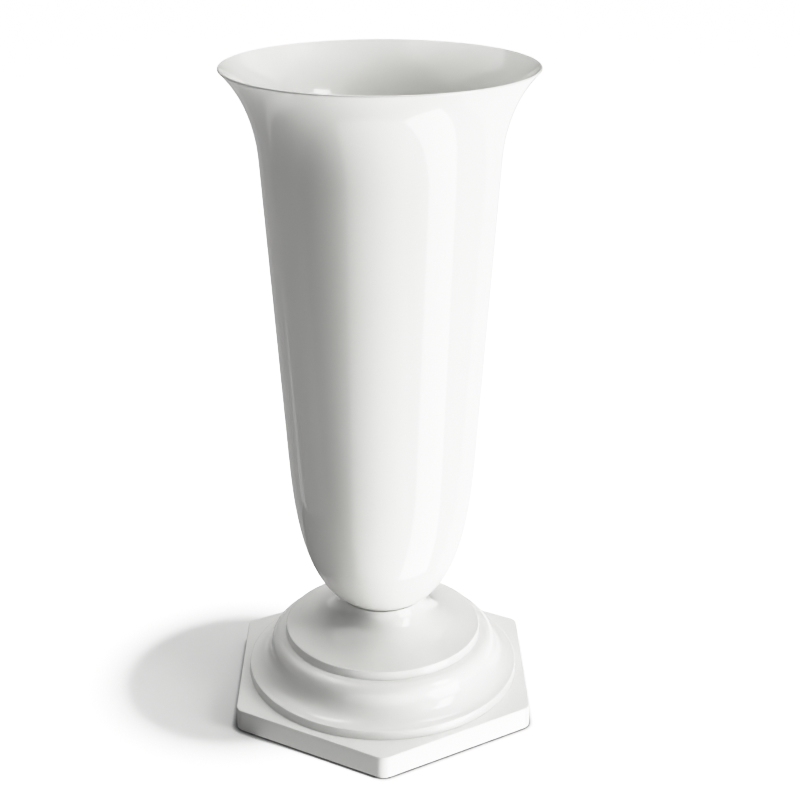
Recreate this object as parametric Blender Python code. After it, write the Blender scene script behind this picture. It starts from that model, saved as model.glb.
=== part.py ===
"""Pedestal flower vase: a trumpet bowl that lifts out of a stepped pedestal on a hexagonal plinth."""

import math

import bmesh
import bpy
from mathutils import Vector
from mathutils.geometry import interpolate_bezier

# Lengths are in millimetres, and MM turns them into metres when a mesh is made.
MM = 0.001

# Fits and walls
FIT = 0.3
BOWL_WALL = 2.0
LIP_WALL = 1.2
PEDESTAL_WALL = 2.5

# Heights of the pedestal, from the ground up
PLINTH_HEIGHT = 12.0
LOWER_STEP_HEIGHT = 4.7
COVE_HEIGHT = 11.1
BULGE_HEIGHT = 6.1
UPPER_STEP_HEIGHT = 4.7
SCOTIA_HEIGHT = 16.0
NECK_HEIGHT = 2.1
FILL_RECESS = 3.0

# Depth of the spigot below the seam and heights of the bowl above it
SPIGOT_DEPTH = 22.0
BOTTOM_HEIGHT = 81.0
TAPER_HEIGHT = 152.0
FLARE_HEIGHT = 44.0

# Radii, each built on the one before it, from the spigot outwards
SPIGOT_RADIUS = 19.5
SCOTIA_SPREAD = 27.7
SCOTIA_MARGIN = 1.5
UPPER_LEDGE = 2.7
BULGE_SPREAD = 5.4
COVE_SPREAD = 10.7
LOWER_LEDGE = 1.2
PLINTH_MARGIN = 4.5

# Spread of the bowl, from the neck outwards
SHOULDER_OVERHANG = 0.5
BOTTOM_SPREAD = 25.0
TAPER_SPREAD = 9.8
FLARE_SPREAD = 17.4

# Roundings and slopes, with the fall of the hollow's roof from the socket to the step
ROOF_FALL = 2.0
STEP_ROUNDING = 0.5
STEP_DRAFT = 0.4
SEAM_ROUNDING = 0.5
PLINTH_CORNER_ROUNDING = 6.0
BOTTOM_ANGLE = math.radians(56.2)
LIP_ANGLE = math.radians(44.4)

# How far the bowl's curves hold their first and last direction, as shares of their height
BOTTOM_HOLD = 0.3
FLARE_HOLD = 0.54
LIP_HOLD = 0.2

# Facets round a turned piece, points on the bowl's curves, and steps on the smaller ones
FACETS = 60
HOLLOW_FACETS = 40
CURVE_POINTS = 11
CORNER_STEPS = 3
SCOTIA_STEPS = 6
BULGE_STEPS = 4
COVE_STEPS = 5
HOLLOW_STEPS = 3
LIP_STEPS = 6
SHARP_ANGLE = math.radians(35)
MERGE_DISTANCE = 0.001

# Sizes that follow from the ones above
socket_radius = SPIGOT_RADIUS + FIT
neck_radius = socket_radius + PEDESTAL_WALL
scotia_foot_radius = neck_radius + SCOTIA_SPREAD
upper_step_radius = scotia_foot_radius + SCOTIA_MARGIN
bulge_top_radius = upper_step_radius + UPPER_LEDGE
bulge_foot_radius = bulge_top_radius + BULGE_SPREAD
cove_foot_radius = bulge_foot_radius + COVE_SPREAD
lower_step_radius = cove_foot_radius + LOWER_LEDGE
plinth_apothem = lower_step_radius + PLINTH_MARGIN

lower_step_top = PLINTH_HEIGHT + LOWER_STEP_HEIGHT
cove_top = lower_step_top + COVE_HEIGHT
upper_ledge_top = cove_top + BULGE_HEIGHT
upper_step_top = upper_ledge_top + UPPER_STEP_HEIGHT
scotia_top = upper_step_top + SCOTIA_HEIGHT
neck_top = scotia_top + NECK_HEIGHT
seam = neck_top + FIT
spigot_end = seam - SPIGOT_DEPTH
socket_floor = spigot_end - FIT
socket_underside = socket_floor - PEDESTAL_WALL

shoulder_radius = neck_radius + SHOULDER_OVERHANG
taper_low_radius = shoulder_radius + BOTTOM_SPREAD
taper_high_radius = taper_low_radius + TAPER_SPREAD
rim_radius = taper_high_radius + FLARE_SPREAD
taper_low = seam + BOTTOM_HEIGHT
taper_high = taper_low + TAPER_HEIGHT
rim_top = taper_high + FLARE_HEIGHT


def clear_scene():
    for item in list(bpy.data.objects):
        bpy.data.objects.remove(item)


def plastic_or_plaster(name, colour, roughness):
    """An opaque material with no metal in it."""
    material = bpy.data.materials.new(name)
    material.use_nodes = True
    shader = material.node_tree.nodes["Principled BSDF"]
    shader.inputs["Base Color"].default_value = (*colour, 1.0)
    shader.inputs["Roughness"].default_value = roughness
    shader.inputs["Metallic"].default_value = 0.0
    return material


def rounded(corners):
    """A profile through corners of (radius, height, rounding), with an arc in place of each rounded corner."""
    points = []
    for index, (radius, height, rounding) in enumerate(corners):
        corner = Vector((radius, height))
        if rounding == 0:
            points.append(corner)
            continue
        back = (Vector(corners[index - 1][:2]) - corner).normalized()
        onward = (Vector(corners[index + 1][:2]) - corner).normalized()
        half_angle = back.angle(onward) / 2
        centre = corner + (back + onward).normalized() * rounding / math.sin(half_angle)
        reach = rounding / math.tan(half_angle)
        first = (corner + back * reach - centre).normalized()
        last = (corner + onward * reach - centre).normalized()
        for step in range(CORNER_STEPS + 1):
            points.append(centre + first.slerp(last, step / CORNER_STEPS) * rounding)
    return points


def bulge(top, foot, steps):
    """A quarter ellipse that leaves its top level and reaches its foot upright."""
    across = foot[0] - top[0]
    down = top[1] - foot[1]
    angles = [math.pi / 2 * step / steps for step in range(steps + 1)]
    return [Vector((top[0] + across * math.sin(a), foot[1] + down * math.cos(a))) for a in angles]


def cove(top, foot, steps):
    """A quarter ellipse that leaves its top upright and reaches its foot level."""
    across = foot[0] - top[0]
    down = top[1] - foot[1]
    angles = [math.pi / 2 * step / steps for step in range(steps + 1)]
    return [Vector((foot[0] - across * math.cos(a), top[1] - down * math.sin(a))) for a in angles]


def half_round(start, end):
    """The points between the two faces of a wall that make its edge half round."""
    middle = (start + end) / 2
    side = (start - end) / 2
    outward = Vector((side.y, -side.x))
    angles = [math.pi * step / LIP_STEPS for step in range(1, LIP_STEPS)]
    return [middle + side * math.cos(a) + outward * math.sin(a) for a in angles]


def turned_mesh(name, profile, facets=FACETS):
    """A solid of revolution round Z from a profile that starts and ends on the axis."""
    shape = bmesh.new()
    verts = [shape.verts.new((radius * MM, 0.0, height * MM)) for radius, height in profile]
    edges = [shape.edges.new(pair) for pair in zip(verts, verts[1:])]
    bmesh.ops.spin(
        shape, geom=verts + edges, cent=(0, 0, 0), axis=(0, 0, 1), angle=math.tau, steps=facets, use_merge=True
    )
    return closed_mesh(name, shape)


def hexagon(shape, apothem, height):
    """A ring of verts: a hexagon with rounded corners, one of which points along -Y."""
    ratio = apothem / plinth_apothem * MM
    to_rounding = (plinth_apothem - PLINTH_CORNER_ROUNDING) / math.cos(math.pi / 6)
    ring = []
    for corner in range(6):
        middle = math.radians(60 * corner - 90)
        for step in range(CORNER_STEPS + 2):
            angle = middle + math.radians(60 * step / (CORNER_STEPS + 1) - 30)
            x = to_rounding * math.cos(middle) + PLINTH_CORNER_ROUNDING * math.cos(angle)
            y = to_rounding * math.sin(middle) + PLINTH_CORNER_ROUNDING * math.sin(angle)
            ring.append(shape.verts.new((x * ratio, y * ratio, height * MM)))
    return ring


def hexagonal_mesh(name, profile):
    """A hexagonal solid: each point of the profile gives a hexagon's apothem and its height."""
    shape = bmesh.new()
    rings = [hexagon(shape, apothem, height) for apothem, height in profile]
    for low, high in zip(rings, rings[1:]):
        for index in range(len(low)):
            shape.faces.new((low[index - 1], low[index], high[index], high[index - 1]))
    shape.faces.new(reversed(rings[0]))
    shape.faces.new(rings[-1])
    return closed_mesh(name, shape)


def closed_mesh(name, shape):
    """The shape as a mesh with its seam merged, faces outward, and real corners kept sharp."""
    bmesh.ops.remove_doubles(shape, verts=shape.verts, dist=MERGE_DISTANCE * MM)
    bmesh.ops.recalc_face_normals(shape, faces=shape.faces)
    mesh = bpy.data.meshes.new(name)
    shape.to_mesh(mesh)
    shape.free()
    mesh.polygons.foreach_set("use_smooth", [True] * len(mesh.polygons))
    mesh.set_sharp_from_angle(angle=SHARP_ANGLE)
    return mesh


def place(name, mesh, material=None):
    """A piece with its origin on the vase's axis. One with no material is a helper that a Boolean uses."""
    piece = bpy.data.objects.new(name, mesh)
    bpy.context.scene.collection.objects.link(piece)
    if material is None:
        piece.hide_render = True
        piece.display_type = "WIRE"
    else:
        mesh.materials.append(material)
    return piece


def combine(piece, operation, other):
    """Joins a helper to the piece or cuts it out of it."""
    step = piece.modifiers.new(other.name, "BOOLEAN")
    step.operation = operation
    step.solver = "EXACT"
    step.object = other


def bowl_outline():
    """The outside of the bowl from the shoulder up to the lip: rounded bottom, straight taper, flare."""
    taper = Vector((TAPER_SPREAD, TAPER_HEIGHT)).normalized()
    leaving_seam = Vector((math.sin(BOTTOM_ANGLE), math.cos(BOTTOM_ANGLE)))
    reaching_lip = Vector((math.sin(LIP_ANGLE), math.cos(LIP_ANGLE)))
    lip_centre = Vector((rim_radius - LIP_WALL / 2, rim_top - LIP_WALL / 2))
    lip_side = Vector((reaching_lip.y, -reaching_lip.x))
    shoulder = Vector((shoulder_radius, seam + SEAM_ROUNDING))
    low = Vector((taper_low_radius, taper_low))
    high = Vector((taper_high_radius, taper_high))
    lip = lip_centre + lip_side * LIP_WALL / 2
    bottom = interpolate_bezier(
        shoulder,
        shoulder + leaving_seam * BOTTOM_HOLD * BOTTOM_HEIGHT,
        low - taper * BOTTOM_HOLD * BOTTOM_HEIGHT,
        low,
        CURVE_POINTS,
    )
    flare = interpolate_bezier(
        high,
        high + taper * FLARE_HOLD * FLARE_HEIGHT,
        lip - reaching_lip * LIP_HOLD * FLARE_HEIGHT,
        lip,
        CURVE_POINTS,
    )
    return bottom + flare


def inside_of(outline):
    """The inner face of the bowl, one wall in from its outline and thinner towards the lip."""
    inner = []
    for index, point in enumerate(outline):
        before = outline[max(index - 1, 0)]
        after = outline[min(index + 1, len(outline) - 1)]
        along = (after - before).normalized()
        share = max(0.0, (point.y - taper_high) / FLARE_HEIGHT)
        wall = BOWL_WALL + (LIP_WALL - BOWL_WALL) * share
        inner.append(point + Vector((-along.y, along.x)) * wall)
    return inner


def bowl_profile():
    """From the middle of the floor up the inside, over the lip, down the outside and round the spigot."""
    outer = bowl_outline()
    inner = inside_of(outer)
    floor = inner[0].y
    lip = half_round(inner[-1], outer[-1])
    spigot = rounded(
        [
            (shoulder_radius - SEAM_ROUNDING, seam, 0),
            (SPIGOT_RADIUS, seam, 0),
            (SPIGOT_RADIUS, spigot_end, SEAM_ROUNDING),
            (SPIGOT_RADIUS - BOWL_WALL, spigot_end, 0),
            (SPIGOT_RADIUS - BOWL_WALL, floor - BOWL_WALL, 0),
            (0, floor - BOWL_WALL, 0),
        ]
    )
    return [Vector((0, floor)), *inner, *lip, *reversed(outer), *spigot]


def pedestal_profile():
    """The turned part of the pedestal from its socket floor over the neck and down both steps, solid inside."""
    bulge_top = (bulge_top_radius, upper_ledge_top)
    bulge_foot = (bulge_foot_radius, cove_top)
    cove_foot = (cove_foot_radius, lower_step_top)
    neck = rounded(
        [
            (0, socket_floor, 0),
            (socket_radius, socket_floor, 0),
            (socket_radius, neck_top, SEAM_ROUNDING),
            (neck_radius, neck_top, SEAM_ROUNDING),
            (neck_radius, scotia_top, 0),
        ]
    )
    scotia = cove((neck_radius, scotia_top), (scotia_foot_radius, upper_step_top), SCOTIA_STEPS)
    upper_step = rounded(
        [
            (scotia_foot_radius, upper_step_top, 0),
            (upper_step_radius, upper_step_top, STEP_ROUNDING),
            (upper_step_radius + STEP_DRAFT, upper_ledge_top, STEP_ROUNDING),
            (*bulge_top, 0),
        ]
    )
    ogee = bulge(bulge_top, bulge_foot, BULGE_STEPS) + cove(bulge_foot, cove_foot, COVE_STEPS)[1:]
    lower_step = rounded(
        [
            (*cove_foot, 0),
            (lower_step_radius, lower_step_top, STEP_ROUNDING),
            (lower_step_radius + STEP_DRAFT, PLINTH_HEIGHT, 0),
            (lower_step_radius + STEP_DRAFT, PLINTH_HEIGHT / 2, 0),
            (0, PLINTH_HEIGHT / 2, 0),
        ]
    )
    return neck[:-1] + scotia + upper_step[1:-1] + ogee + lower_step[1:]


def hollow_profile(gap, lowest):
    """The turned part of the hollow under the pedestal, one wall and a gap in from its outside."""
    inset = PEDESTAL_WALL + gap
    tube = neck_radius + gap
    bulge_foot = (bulge_foot_radius - inset, cove_top)
    cove_foot = (lower_step_radius - inset, lower_step_top - inset)
    roof = [
        Vector((0, socket_underside - gap)),
        Vector((tube, socket_underside - gap)),
        Vector((tube, upper_step_top + ROOF_FALL - inset)),
        Vector((upper_step_radius - inset, upper_step_top - inset)),
        Vector((upper_step_radius - inset, upper_ledge_top - inset)),
    ]
    ogee = bulge((bulge_top_radius, upper_ledge_top - inset), bulge_foot, HOLLOW_STEPS)
    ogee += cove(bulge_foot, cove_foot, HOLLOW_STEPS)[1:]
    return roof + ogee + [Vector((lower_step_radius - inset, lowest)), Vector((0, lowest))]


def make_hollow(name, gap, bottom, material=None):
    """The space under the pedestal: round below the steps, hexagonal in the plinth."""
    ceiling = PLINTH_HEIGHT - PEDESTAL_WALL - gap
    middle = (bottom + ceiling) / 2
    apothem = plinth_apothem - PEDESTAL_WALL - gap
    pocket = place(name + "_in_plinth", hexagonal_mesh(name + "_in_plinth", [(apothem, bottom), (apothem, ceiling)]))
    hollow = place(name, turned_mesh(name, hollow_profile(gap, middle), HOLLOW_FACETS), material)
    combine(hollow, "UNION", pocket)
    return hollow


def make_pedestal(material):
    """The hexagonal plinth and the turned steps in one moulding, hollow from below."""
    plinth_profile = rounded(
        [
            (plinth_apothem - PEDESTAL_WALL / 2, 0, 0),
            (plinth_apothem, 0, STEP_ROUNDING),
            (plinth_apothem, PLINTH_HEIGHT, STEP_ROUNDING),
            (plinth_apothem - PEDESTAL_WALL, PLINTH_HEIGHT, 0),
        ]
    )
    pedestal = place("pedestal", hexagonal_mesh("pedestal", plinth_profile), material)
    combine(pedestal, "UNION", place("pedestal_turning", turned_mesh("pedestal_turning", pedestal_profile())))
    combine(pedestal, "DIFFERENCE", make_hollow("pedestal_hollow", 0.0, -PEDESTAL_WALL))


clear_scene()
bowl_plastic = plastic_or_plaster("bowl_white_plastic", (0.86, 0.86, 0.84), 0.18)
pedestal_plastic = plastic_or_plaster("pedestal_white_plastic", (0.86, 0.86, 0.84), 0.2)
plaster = plastic_or_plaster("ballast_plaster", (0.62, 0.6, 0.56), 0.85)
place("bowl", turned_mesh("bowl", bowl_profile()), bowl_plastic)
make_pedestal(pedestal_plastic)
make_hollow("ballast", FIT, FILL_RECESS, plaster)
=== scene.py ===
"""Studio picture of the pedestal flower vase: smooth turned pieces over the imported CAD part."""

import math

import bmesh
import bpy
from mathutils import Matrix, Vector
from mathutils.geometry import interpolate_bezier


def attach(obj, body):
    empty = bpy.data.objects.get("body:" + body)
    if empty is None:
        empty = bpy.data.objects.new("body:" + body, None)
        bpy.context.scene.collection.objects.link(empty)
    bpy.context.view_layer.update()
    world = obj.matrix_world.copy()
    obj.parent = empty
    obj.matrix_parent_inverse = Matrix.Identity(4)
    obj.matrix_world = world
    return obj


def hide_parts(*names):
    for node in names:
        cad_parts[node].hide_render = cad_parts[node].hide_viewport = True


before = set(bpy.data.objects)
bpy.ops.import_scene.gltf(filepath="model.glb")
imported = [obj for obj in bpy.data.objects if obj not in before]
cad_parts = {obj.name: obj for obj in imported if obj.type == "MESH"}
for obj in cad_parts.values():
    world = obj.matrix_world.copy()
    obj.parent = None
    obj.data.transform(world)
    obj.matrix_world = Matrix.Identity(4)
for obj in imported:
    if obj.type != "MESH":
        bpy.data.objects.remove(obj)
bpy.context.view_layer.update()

# Lengths of the vase are in millimetres, and MM turns them into metres when a mesh is made.
MM = 0.001

# Walls and fits. The seam is drawn wider than the fit of the solids, so that its dark line shows.
FIT = 0.3
SEAM_GAP = 0.7
BOWL_WALL = 2.0
LIP_WALL = 1.2
PEDESTAL_WALL = 2.5

# Heights above the ground
PLINTH_TOP = 12.0
LOWER_STEP_TOP = 16.7
COVE_TOP = 27.8
UPPER_LEDGE_TOP = 33.9
UPPER_STEP_TOP = 38.6
SCOTIA_TOP = 54.6
SEAM = 57.0
NECK_TOP = SEAM - SEAM_GAP
TAPER_LOW = 138.0
TAPER_HIGH = 290.0
RIM_TOP = 333.98
SPIGOT_END = 35.0
SOCKET_FLOOR = SPIGOT_END - FIT

# Radii
SPIGOT_RADIUS = 19.5
SOCKET_RADIUS = SPIGOT_RADIUS + FIT
NECK_RADIUS = 22.3
SHOULDER_RADIUS = 22.8
SCOTIA_FOOT_RADIUS = 50.0
UPPER_STEP_RADIUS = 51.5
BULGE_TOP_RADIUS = 54.2
BULGE_FOOT_RADIUS = 59.6
COVE_FOOT_RADIUS = 70.3
LOWER_STEP_RADIUS = 71.5
TAPER_LOW_RADIUS = 47.8
TAPER_HIGH_RADIUS = 57.6
RIM_RADIUS = 75.0
PLINTH_APOTHEM = 76.0

# Roundings and slopes
ROOF_FALL = 2.0
STEP_ROUNDING = 0.5
STEP_DRAFT = 0.4
SEAM_ROUNDING = 0.5
PLINTH_CORNER_ROUNDING = 6.0
BOTTOM_ANGLE = math.radians(56.2)
LIP_ANGLE = math.radians(44.4)

# How far the bowl's curves hold the directions of their ends, as shares of their heights
BOTTOM_HOLD = 0.3
FLARE_HOLD = 0.54
LIP_HOLD = 0.2

# Fineness of the meshes, with the two distances in millimetres
CURVE_POINTS = 40
BOWL_FACETS = 288
PEDESTAL_FACETS = 540
SHARP_ANGLE = math.radians(32)
MERGE_DISTANCE = 0.001
SLIVER_LENGTH = 0.0001

# Lengths of the studio are in metres, and the camera's angles are in degrees.
AIM_HEIGHT = 0.17
TABLE_HALF_WIDTH = 9
BACKDROP_RADIUS = 8
BACKDROP_HEIGHT = 8
BACKDROP_SIDES = 48
CAMERA_PITCH = 22.48
CAMERA_TURN = -0.76


def add(tree, kind, inputs=None, **settings):
    """A node with its settings, and each input linked to a socket or given a value."""
    node = tree.nodes.new(kind)
    for name, value in settings.items():
        setattr(node, name, value)
    for key, value in (inputs or {}).items():
        if isinstance(value, bpy.types.NodeSocket):
            tree.links.new(value, node.inputs[key])
        else:
            node.inputs[key].default_value = value
    return node


def linear(code):
    """The linear colour of a hex code, which is in sRGB."""
    channels = [int(code[start : start + 2], 16) / 255 for start in (1, 3, 5)]
    return [c / 12.92 if c <= 0.04045 else ((c + 0.055) / 1.055) ** 2.4 for c in channels] + [1.0]


# Materials
def new_material(name):
    """A material with its node tree and its main shader."""
    material = bpy.data.materials.new(name)
    material.use_nodes = True
    tree = material.node_tree
    return material, tree, tree.nodes["Principled BSDF"]


def cloud(tree, size_mm, detail):
    """Soft noise in object space whose patches are about this many millimetres across."""
    where = add(tree, "ShaderNodeTexCoord").outputs["Object"]
    return add(
        tree, "ShaderNodeTexNoise", {"Vector": where, "Scale": 1 / (size_mm * MM), "Detail": detail}
    ).outputs["Fac"]


def moulded_plastic(name, dark, light):
    """Gloss polypropylene from a mould: clean white, with broad soft reflections and faint flow marks."""
    material, tree, shader = new_material(name)
    tint = add(tree, "ShaderNodeValToRGB", {"Fac": cloud(tree, 90, 2)})
    tint.color_ramp.elements[0].position = 0.3
    tint.color_ramp.elements[0].color = linear(dark)
    tint.color_ramp.elements[1].position = 0.7
    tint.color_ramp.elements[1].color = linear(light)
    gloss = add(tree, "ShaderNodeMapRange", {"Value": cloud(tree, 25, 4), "To Min": 0.06, "To Max": 0.1})
    waviness = add(
        tree,
        "ShaderNodeBump",
        {"Height": cloud(tree, 35, 1), "Strength": 0.25, "Distance": 0.04 * MM},
    )
    tree.links.new(tint.outputs["Color"], shader.inputs["Base Color"])
    tree.links.new(gloss.outputs["Result"], shader.inputs["Roughness"])
    tree.links.new(waviness.outputs["Normal"], shader.inputs["Normal"])
    shader.inputs["IOR"].default_value = 1.49
    return material


def cast_plaster(name):
    """Cast gypsum plaster: dull and pale grey, with small pores and a cloudy colour."""
    material, tree, shader = new_material(name)
    tint = add(tree, "ShaderNodeValToRGB", {"Fac": cloud(tree, 18, 6)})
    tint.color_ramp.elements[0].position = 0.35
    tint.color_ramp.elements[0].color = linear("#B3B0A8")
    tint.color_ramp.elements[1].position = 0.65
    tint.color_ramp.elements[1].color = linear("#CDCAC2")
    pores = add(
        tree,
        "ShaderNodeBump",
        {"Height": cloud(tree, 1.5, 5), "Strength": 0.6, "Distance": 0.3 * MM},
    )
    tree.links.new(tint.outputs["Color"], shader.inputs["Base Color"])
    tree.links.new(pores.outputs["Normal"], shader.inputs["Normal"])
    shader.inputs["Roughness"].default_value = 0.85
    shader.inputs["IOR"].default_value = 1.52
    return material


def shooting_table(name):
    """Matt white acrylic: an even pale ground that glows a little, with shade close to what stands on it."""
    material, tree, shader = new_material(name)
    tint = add(tree, "ShaderNodeValToRGB", {"Fac": cloud(tree, 400, 2)})
    tint.color_ramp.elements[0].color = linear("#C6C6C5")
    tint.color_ramp.elements[1].color = linear("#C9C9C9")
    contact = add(tree, "ShaderNodeAmbientOcclusion", {"Distance": 3.5 * MM}, samples=8)
    shade = add(tree, "ShaderNodeMath", {0: contact.outputs["AO"], 1: 4.0}, operation="POWER")
    shaded = add(
        tree,
        "ShaderNodeVectorMath",
        {0: tint.outputs["Color"], "Scale": shade.outputs[0]},
        operation="SCALE",
    )
    tree.links.new(shaded.outputs["Vector"], shader.inputs["Base Color"])
    tree.links.new(shaded.outputs["Vector"], shader.inputs["Emission Color"])
    shader.inputs["Emission Strength"].default_value = 0.2
    shader.inputs["Roughness"].default_value = 0.9
    shader.inputs["Specular IOR Level"].default_value = 0.1
    return material


def backdrop_paper(name):
    """Seamless paper lit from behind: plain white, with no form of its own."""
    material, _, shader = new_material(name)
    shader.inputs["Base Color"].default_value = linear("#F4F4F4")
    shader.inputs["Emission Color"].default_value = linear("#FFFFFF")
    shader.inputs["Emission Strength"].default_value = 2.5
    shader.inputs["Roughness"].default_value = 0.9
    return material


def painted_shade_acrylic(name):
    """Acrylic painted grey: the vase's shade on the white table, as painted shade in its colour."""
    material, _, shader = new_material(name)
    shader.inputs["Base Color"].default_value = linear("#808080")
    shader.inputs["Roughness"].default_value = 0.9
    return material


# Profiles
def rounded(corners, steps=8):
    """A profile through corners of (radius, height, rounding), with an arc at each rounded corner."""
    points = []
    for index, (radius, height, rounding) in enumerate(corners):
        corner = Vector((radius, height))
        if rounding == 0:
            points.append(corner)
            continue
        back = (Vector(corners[index - 1][:2]) - corner).normalized()
        onward = (Vector(corners[index + 1][:2]) - corner).normalized()
        half_angle = back.angle(onward) / 2
        centre = corner + (back + onward).normalized() * rounding / math.sin(half_angle)
        reach = rounding / math.tan(half_angle)
        first = (corner + back * reach - centre).normalized()
        last = (corner + onward * reach - centre).normalized()
        for step in range(steps + 1):
            points.append(centre + first.slerp(last, step / steps) * rounding)
    return points


def bulge(top, foot, steps=24):
    """A quarter ellipse that leaves its top level and reaches its foot upright."""
    across = foot[0] - top[0]
    down = top[1] - foot[1]
    angles = [math.pi / 2 * step / steps for step in range(steps + 1)]
    return [Vector((top[0] + across * math.sin(a), foot[1] + down * math.cos(a))) for a in angles]


def cove(top, foot, steps=16):
    """A quarter ellipse that leaves its top upright and reaches its foot level."""
    across = foot[0] - top[0]
    down = top[1] - foot[1]
    angles = [math.pi / 2 * step / steps for step in range(steps + 1)]
    return [Vector((foot[0] - across * math.cos(a), top[1] - down * math.sin(a))) for a in angles]


def half_round(start, end, steps=10):
    """The points between the two faces of a wall that make its edge half round."""
    middle = (start + end) / 2
    side = (start - end) / 2
    outward = Vector((side.y, -side.x))
    angles = [math.pi * step / steps for step in range(1, steps)]
    return [middle + side * math.cos(a) + outward * math.sin(a) for a in angles]


def bowl_outline():
    """The outside of the bowl from the shoulder up to the lip: rounded bottom, straight taper, flare."""
    shoulder = Vector((SHOULDER_RADIUS, SEAM + SEAM_ROUNDING))
    low = Vector((TAPER_LOW_RADIUS, TAPER_LOW))
    high = Vector((TAPER_HIGH_RADIUS, TAPER_HIGH))
    taper = (high - low).normalized()
    leaving_seam = Vector((math.sin(BOTTOM_ANGLE), math.cos(BOTTOM_ANGLE)))
    reaching_lip = Vector((math.sin(LIP_ANGLE), math.cos(LIP_ANGLE)))
    lip_side = Vector((reaching_lip.y, -reaching_lip.x))
    lip = Vector((RIM_RADIUS - LIP_WALL / 2, RIM_TOP - LIP_WALL / 2)) + lip_side * LIP_WALL / 2
    bottom_reach = BOTTOM_HOLD * (TAPER_LOW - SEAM)
    flare_height = RIM_TOP - TAPER_HIGH
    bottom = interpolate_bezier(
        shoulder,
        shoulder + leaving_seam * bottom_reach,
        low - taper * bottom_reach,
        low,
        CURVE_POINTS,
    )
    flare = interpolate_bezier(
        high,
        high + taper * FLARE_HOLD * flare_height,
        lip - reaching_lip * LIP_HOLD * flare_height,
        lip,
        CURVE_POINTS,
    )
    return bottom + flare


def inside_of(outline):
    """The inner face of the bowl, one wall in from its outline and thinner towards the lip."""
    inner = []
    for index, point in enumerate(outline):
        before = outline[max(index - 1, 0)]
        after = outline[min(index + 1, len(outline) - 1)]
        along = (after - before).normalized()
        share = max(0.0, (point.y - TAPER_HIGH) / (RIM_TOP - TAPER_HIGH))
        wall = BOWL_WALL + (LIP_WALL - BOWL_WALL) * share
        inner.append(point + Vector((-along.y, along.x)) * wall)
    return inner


def bowl_profile():
    """From the middle of the floor up the inside, over the lip, down the outside and round the spigot."""
    outer = bowl_outline()
    inner = inside_of(outer)
    floor = inner[0].y
    spigot = rounded(
        [
            (SHOULDER_RADIUS, SEAM + SEAM_ROUNDING, 0),
            (SHOULDER_RADIUS - SEAM_ROUNDING, SEAM, 0),
            (SPIGOT_RADIUS, SEAM, 0),
            (SPIGOT_RADIUS, SPIGOT_END, SEAM_ROUNDING),
            (SPIGOT_RADIUS - BOWL_WALL, SPIGOT_END, 0),
            (SPIGOT_RADIUS - BOWL_WALL, floor - BOWL_WALL, 0),
            (0, floor - BOWL_WALL, 0),
        ]
    )
    return [Vector((0, floor)), *inner, *half_round(inner[-1], outer[-1]), *reversed(outer[1:]), *spigot]


def pedestal_profile():
    """The pedestal's profile with a number for each point: 0 where it is round, 1 where it is hexagonal."""
    inset = PEDESTAL_WALL
    bulge_top = (BULGE_TOP_RADIUS, UPPER_LEDGE_TOP)
    bulge_foot = (BULGE_FOOT_RADIUS, COVE_TOP)
    cove_foot = (COVE_FOOT_RADIUS, LOWER_STEP_TOP)
    neck = rounded(
        [
            (0, SOCKET_FLOOR, 0),
            (SOCKET_RADIUS, SOCKET_FLOOR, 0),
            (SOCKET_RADIUS, NECK_TOP, SEAM_ROUNDING),
            (NECK_RADIUS, NECK_TOP, SEAM_ROUNDING),
            (NECK_RADIUS, SCOTIA_TOP, 0),
        ]
    )
    scotia = cove((NECK_RADIUS, SCOTIA_TOP), (SCOTIA_FOOT_RADIUS, UPPER_STEP_TOP))
    upper_step = rounded(
        [
            (SCOTIA_FOOT_RADIUS, UPPER_STEP_TOP, 0),
            (UPPER_STEP_RADIUS, UPPER_STEP_TOP, STEP_ROUNDING),
            (UPPER_STEP_RADIUS + STEP_DRAFT, UPPER_LEDGE_TOP, STEP_ROUNDING),
            (*bulge_top, 0),
        ]
    )
    ogee = bulge(bulge_top, bulge_foot) + cove(bulge_foot, cove_foot)[1:]
    lower_step = rounded(
        [
            (*cove_foot, 0),
            (LOWER_STEP_RADIUS, LOWER_STEP_TOP, STEP_ROUNDING),
            (LOWER_STEP_RADIUS + STEP_DRAFT, PLINTH_TOP, 0),
        ]
    )
    plinth = rounded(
        [
            (PLINTH_APOTHEM - 2 * STEP_ROUNDING, PLINTH_TOP, 0),
            (PLINTH_APOTHEM, PLINTH_TOP, STEP_ROUNDING),
            (PLINTH_APOTHEM, 0, STEP_ROUNDING),
            (PLINTH_APOTHEM - inset, 0, 0),
            (PLINTH_APOTHEM - inset, PLINTH_TOP - inset, 0),
        ]
    )
    inner_foot = (BULGE_FOOT_RADIUS - inset, COVE_TOP)
    inner_ogee = bulge((BULGE_TOP_RADIUS, UPPER_LEDGE_TOP - inset), inner_foot)
    inner_ogee += cove(inner_foot, (LOWER_STEP_RADIUS - inset, LOWER_STEP_TOP - inset))[1:]
    hollow = [
        Vector((LOWER_STEP_RADIUS - inset, PLINTH_TOP - inset)),
        *reversed(inner_ogee),
        Vector((UPPER_STEP_RADIUS - inset, UPPER_LEDGE_TOP - inset)),
        Vector((UPPER_STEP_RADIUS - inset, UPPER_STEP_TOP - inset)),
        Vector((NECK_RADIUS, UPPER_STEP_TOP + ROOF_FALL - inset)),
        Vector((NECK_RADIUS, SOCKET_FLOOR - inset)),
        Vector((0, SOCKET_FLOOR - inset)),
    ]
    outside = neck[:-1] + scotia + upper_step[1:-1] + ogee + lower_step[1:]
    return outside + plinth + hollow, [0.0] * len(outside) + [1.0] * len(plinth) + [0.0] * len(hollow)


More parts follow.
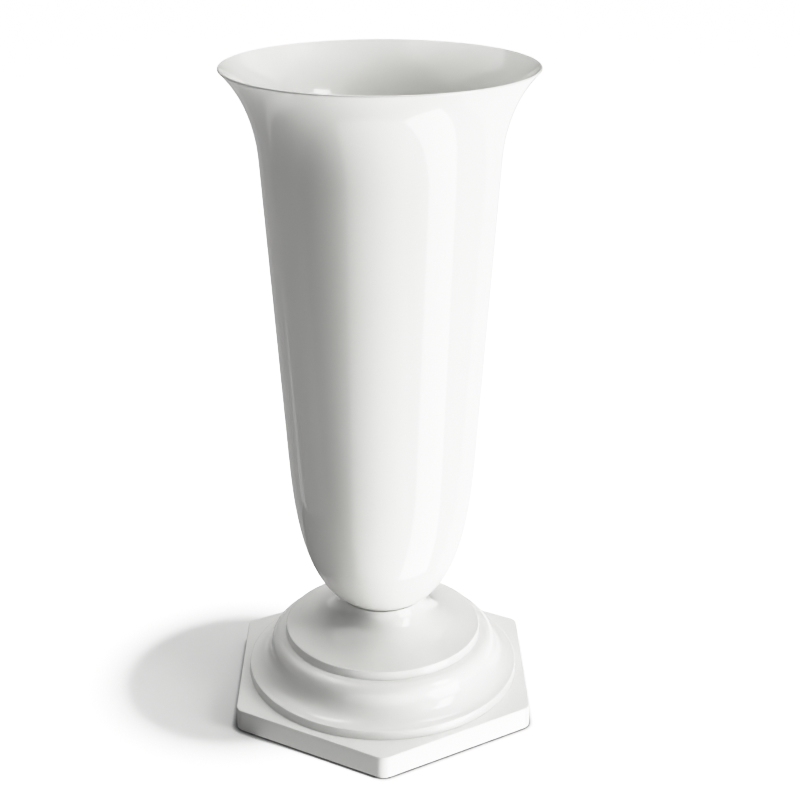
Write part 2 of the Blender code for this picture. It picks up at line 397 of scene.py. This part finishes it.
# The rule of a turned piece, as a node tree
def turning_tree():
    """Turns a profile in the XZ plane round Z. Points marked hexagonal follow a hexagon, not a circle."""
    tree = bpy.data.node_groups.new("Turned form", "GeometryNodeTree")
    tree.interface.new_socket("Profile", in_out="INPUT", socket_type="NodeSocketGeometry")
    tree.interface.new_socket("Facets", in_out="INPUT", socket_type="NodeSocketInt")
    tree.interface.new_socket("Corner Share", in_out="INPUT", socket_type="NodeSocketFloat")
    tree.interface.new_socket("Material", in_out="INPUT", socket_type="NodeSocketMaterial")
    tree.interface.new_socket("Piece", in_out="OUTPUT", socket_type="NodeSocketGeometry")
    given = add(tree, "NodeGroupInput").outputs

    def math_node(operation, first, second=0.0):
        return add(tree, "ShaderNodeMath", {0: first, 1: second}, operation=operation).outputs[0]

    def sampled(value, data_type):
        return add(
            tree,
            "GeometryNodeSampleIndex",
            {"Geometry": given["Profile"], "Value": value, "Index": row},
            data_type=data_type,
        ).outputs["Value"]

    counted = add(tree, "GeometryNodeAttributeDomainSize", {"Geometry": given["Profile"]})
    count = counted.outputs["Point Count"]
    columns = math_node("ADD", given["Facets"], 1.0)
    sheet = add(tree, "GeometryNodeMeshGrid", {"Vertices X": count, "Vertices Y": columns}).outputs["Mesh"]
    index = add(tree, "GeometryNodeInputIndex").outputs["Index"]
    row = math_node("FLOOR", math_node("DIVIDE", math_node("ADD", index, 0.5), columns))
    column = math_node("SUBTRACT", index, math_node("MULTIPLY", row, columns))
    turn = math_node("MULTIPLY", math_node("DIVIDE", column, given["Facets"]), math.tau)

    place = add(tree, "GeometryNodeInputPosition").outputs["Position"]
    point = add(tree, "ShaderNodeSeparateXYZ", {"Vector": sampled(place, "FLOAT_VECTOR")}).outputs
    mark = add(tree, "GeometryNodeInputNamedAttribute", {"Name": "hexagonal"}, data_type="FLOAT")
    hexagonal = sampled(mark.outputs["Attribute"], "FLOAT")

    # Angle from the nearest corner of the hexagon. One corner points along -Y.
    sixth = math.pi / 3
    wrapped = add(
        tree,
        "ShaderNodeMath",
        {0: math_node("ADD", turn, math.pi / 2), 1: sixth / 2, 2: -sixth / 2},
    )
    wrapped.operation = "WRAP"
    from_corner = math_node("ABSOLUTE", wrapped.outputs[0])
    flat = math_node("DIVIDE", 1.0, math_node("COSINE", math_node("SUBTRACT", sixth / 2, from_corner)))
    share = given["Corner Share"]
    centre = math_node("DIVIDE", math_node("SUBTRACT", 1.0, share), math.cos(sixth / 2))
    aside = math_node("MULTIPLY", centre, math_node("SINE", from_corner))
    inside = math_node("SUBTRACT", math_node("POWER", share, 2.0), math_node("POWER", aside, 2.0))
    arc = math_node(
        "ADD",
        math_node("MULTIPLY", centre, math_node("COSINE", from_corner)),
        math_node("SQRT", math_node("MAXIMUM", inside, 0.0)),
    )
    arc_end = math_node(
        "ARCTAN2",
        math_node("MULTIPLY", share, math.sin(sixth / 2)),
        math_node("ADD", centre, math_node("MULTIPLY", share, math.cos(sixth / 2))),
    )
    on_arc = math_node("LESS_THAN", from_corner, arc_end)
    side = math_node("ADD", flat, math_node("MULTIPLY", on_arc, math_node("SUBTRACT", arc, flat)))
    stretch = math_node("ADD", 1.0, math_node("MULTIPLY", hexagonal, math_node("SUBTRACT", side, 1.0)))
    reach = math_node("MULTIPLY", point["X"], stretch)
    moved = add(
        tree,
        "ShaderNodeCombineXYZ",
        {
            "X": math_node("MULTIPLY", reach, math_node("COSINE", turn)),
            "Y": math_node("MULTIPLY", reach, math_node("SINE", turn)),
            "Z": point["Z"],
        },
    ).outputs["Vector"]
    formed = add(tree, "GeometryNodeSetPosition", {"Geometry": sheet, "Position": moved}).outputs["Geometry"]
    closed = add(
        tree, "GeometryNodeMergeByDistance", {"Geometry": formed, "Distance": MERGE_DISTANCE * MM}
    ).outputs["Geometry"]
    whole = add(tree, "GeometryNodeRealizeInstances", {"Geometry": closed}).outputs["Geometry"]
    finished = add(tree, "GeometryNodeSetMaterial", {"Geometry": whole, "Material": given["Material"]})
    add(tree, "NodeGroupOutput", {"Piece": finished.outputs["Geometry"]})
    return tree


def turned_piece(name, tree, profile, marks, facets, material):
    """A finished plain mesh of the turned form, with smooth faces and its real corners kept sharp."""
    points = [(point.x * MM, 0.0, point.y * MM) for point in profile]
    line = bpy.data.meshes.new(name + "_profile")
    line.from_pydata(points, [(i, i + 1) for i in range(len(points) - 1)], [])
    line.attributes.new("hexagonal", "FLOAT", "POINT").data.foreach_set("value", marks)
    shaper = bpy.data.objects.new(name + "_profile", line)
    bpy.context.scene.collection.objects.link(shaper)
    turner = shaper.modifiers.new("Turned form", "NODES")
    turner.node_group = tree
    values = {
        "Facets": facets,
        "Corner Share": PLINTH_CORNER_ROUNDING / PLINTH_APOTHEM,
        "Material": material,
    }
    for item in tree.interface.items_tree:
        if item.in_out == "INPUT" and item.name in values:
            turner[item.identifier] = values[item.name]
    ready = shaper.evaluated_get(bpy.context.evaluated_depsgraph_get())
    mesh = bpy.data.meshes.new_from_object(ready)
    bpy.data.objects.remove(shaper)

    shape = bmesh.new()
    shape.from_mesh(mesh)
    bmesh.ops.dissolve_degenerate(shape, edges=shape.edges, dist=SLIVER_LENGTH * MM)
    bmesh.ops.recalc_face_normals(shape, faces=shape.faces)
    shape.to_mesh(mesh)
    shape.free()
    mesh.polygons.foreach_set("use_smooth", [True] * len(mesh.polygons))
    mesh.set_sharp_from_angle(angle=SHARP_ANGLE)
    mesh.name = name
    piece = bpy.data.objects.new(name, mesh)
    bpy.context.scene.collection.objects.link(piece)
    return piece


# The vase
plastic_of_bowl = moulded_plastic("Gloss polypropylene, bowl", "#DEDEDB", "#E1E1DF")
# The pedestal's plastic is a little lighter than the bowl's: painted light on the pedestal, which the lamps
# leave darker.
pedestal_plastic_with_painted_light = moulded_plastic("Gloss polypropylene, pedestal", "#E4E4E2", "#E7E7E5")
turning = turning_tree()

outline = bowl_profile()
bowl = turned_piece("bowl_smooth", turning, outline, [0.0] * len(outline), BOWL_FACETS, plastic_of_bowl)
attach(bowl, "bowl")
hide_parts("bowl")

outline, marks = pedestal_profile()
pedestal = turned_piece("pedestal_smooth", turning, outline, marks, PEDESTAL_FACETS, pedestal_plastic_with_painted_light)
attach(pedestal, "pedestal")
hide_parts("pedestal")

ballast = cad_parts["ballast"]
ballast.data.materials.clear()
ballast.data.materials.append(cast_plaster("Cast gypsum plaster"))


# The studio
def soft_panel(name, azimuth, elevation, distance, size, brightness):
    """A softbox that faces the vase. Its azimuth counts from the camera's side towards the right."""
    data = bpy.data.lights.new(name, "AREA")
    data.shape = "RECTANGLE"
    data.size, data.size_y = size
    data.energy = brightness * math.pi * size[0] * size[1]
    panel = bpy.data.objects.new(name, data)
    turn = math.radians(azimuth)
    rise = math.radians(elevation)
    level = distance * math.cos(rise)
    middle = Vector((0.0, 0.0, AIM_HEIGHT))
    away = Vector((level * math.sin(turn), -level * math.cos(turn), distance * math.sin(rise)))
    panel.location = middle + away
    panel.rotation_euler = (middle - panel.location).to_track_quat("-Z", "Y").to_euler()
    panel.visible_camera = False
    bpy.context.scene.collection.objects.link(panel)


def table_lamp(surface, azimuth, elevation, spread, brightness):
    """A distant lamp for the table alone. It whitens the ground and throws the vase's soft shadow on it."""
    data = bpy.data.lights.new("table lamp", "SUN")
    data.energy = brightness
    data.angle = math.radians(spread)
    lamp = bpy.data.objects.new("table lamp", data)
    lamp.rotation_euler = (math.radians(90 - elevation), 0.0, math.radians(azimuth))
    bpy.context.scene.collection.objects.link(lamp)
    lit = bpy.data.collections.new("lit by the table lamp")
    lit.objects.link(surface)
    lamp.light_linking.receiver_collection = lit


def dim_room(brightness):
    """An even grey room round the studio."""
    world = bpy.data.worlds.new("Studio")
    world.use_nodes = True
    background = world.node_tree.nodes["Background"]
    background.inputs["Color"].default_value = linear("#FFFFFF")
    background.inputs["Strength"].default_value = brightness
    bpy.context.scene.world = world


def tone_curve(white, points):
    """A camera's soft shoulder: scene values up to white, and how bright each one is shown."""
    look = bpy.context.scene.view_settings
    look.view_transform = "Standard"
    look.use_curve_mapping = True
    look.curve_mapping.white_level = (white, white, white)
    # The fourth curve acts on all three colours.
    curve = look.curve_mapping.curves[3]
    for value, shown in points:
        curve.points.new(value / white, shown)
    look.curve_mapping.update()


def stage_piece(name, corners, faces, material):
    """A part of the studio, made from its corners and faces."""
    mesh = bpy.data.meshes.new(name)
    mesh.from_pydata(corners, [], faces)
    mesh.materials.append(material)
    piece = bpy.data.objects.new(name, mesh)
    bpy.context.scene.collection.objects.link(piece)
    return piece


def rectangle(left, right, front, back, height):
    """The corners of a level sheet."""
    return [(left, front, height), (right, front, height), (right, back, height), (left, back, height)]


def show_only(piece):
    """The camera sees the piece, but it throws no light or shade on the vase."""
    piece.visible_diffuse = False
    piece.visible_glossy = False
    piece.visible_shadow = False


def round_wall(radius, height, sides):
    """The corners and faces of an upright wall all round the studio."""
    angles = [math.tau * side / sides for side in range(sides)]
    low = [(radius * math.cos(a), radius * math.sin(a), 0.0) for a in angles]
    high = [(x, y, height) for x, y, _ in low]
    faces = [(s, (s + 1) % sides, (s + 1) % sides + sides, s + sides) for s in range(sides)]
    return low + high, faces


table = rectangle(-TABLE_HALF_WIDTH, TABLE_HALF_WIDTH, -TABLE_HALF_WIDTH, TABLE_HALF_WIDTH, 0)
floor = stage_piece("table", table, [(0, 1, 2, 3)], shooting_table("White acrylic table"))
show_only(floor)
wall = round_wall(BACKDROP_RADIUS, BACKDROP_HEIGHT, BACKDROP_SIDES)
backdrop = stage_piece("backdrop", *wall, backdrop_paper("White backdrop paper"))
show_only(backdrop)

# A grey sheet of painted shade under the table, unseen by the camera, stands for the patch in the vase's own
# shade: it gives the vase no light from below and shows grey in its reflections.
shade = rectangle(left=-0.2, right=-0.065, front=-0.115, back=0.11, height=-0.001)
patch = stage_piece("shaded table", shade, [(0, 1, 2, 3)], painted_shade_acrylic("Acrylic with painted shade"))
patch.visible_camera = False

dim_room(brightness=0.03)

# Each softbox has its azimuth and elevation in degrees, its distance and size in metres, and its brightness.
# Those named for the table are below it, and stand for the light that the table throws up.
soft_panel("key", 60, 17, 0.9, (0.25, 0.6), 10.3)
soft_panel("key in front", 40, 15, 0.9, (0.2, 0.5), 1.6)
soft_panel("table on the right", 60, -36, 0.9, (0.48, 1.0), 7.0)
soft_panel("table in front", -3, -36, 0.8, (0.88, 0.9), 1.25)
soft_panel("table on the left", -100, -36, 0.9, (0.7, 0.9), 0.45)
soft_panel("table behind on the left", -145, -30, 1.0, (0.9, 1.0), 0.5)
soft_panel("table behind on the right", 140, -30, 1.0, (0.9, 1.0), 1.5)
soft_panel("high right", 65, 45, 1.2, (1.2, 1.1), 0.95)
soft_panel("high right behind", 125, 50, 1.2, (0.8, 0.8), 1.15)
soft_panel("high left", -100, 60, 1.1, (1.1, 0.9), 1.5)
soft_panel("overhead", 180, 70, 1.2, (0.9, 0.6), 4.1)
table_lamp(floor, azimuth=86, elevation=76.7, spread=6, brightness=11.5)
tone_curve(
    white=2.2,
    points=[(0.15, 0.14), (0.3, 0.28), (0.5, 0.52), (0.75, 0.76), (1.0, 0.875), (1.3, 0.93), (1.7, 0.97)],
)

# The camera, fitted to the photograph
lens = bpy.data.cameras.new("camera")
lens.sensor_width = 36.0
lens.lens = 67.43
camera = bpy.data.objects.new("camera", lens)
camera.location = (0.0, -0.69884, 0.45538)
camera.rotation_euler = (math.radians(90 - CAMERA_PITCH), 0.0, math.radians(CAMERA_TURN))
bpy.context.scene.collection.objects.link(camera)
bpy.context.scene.camera = camera
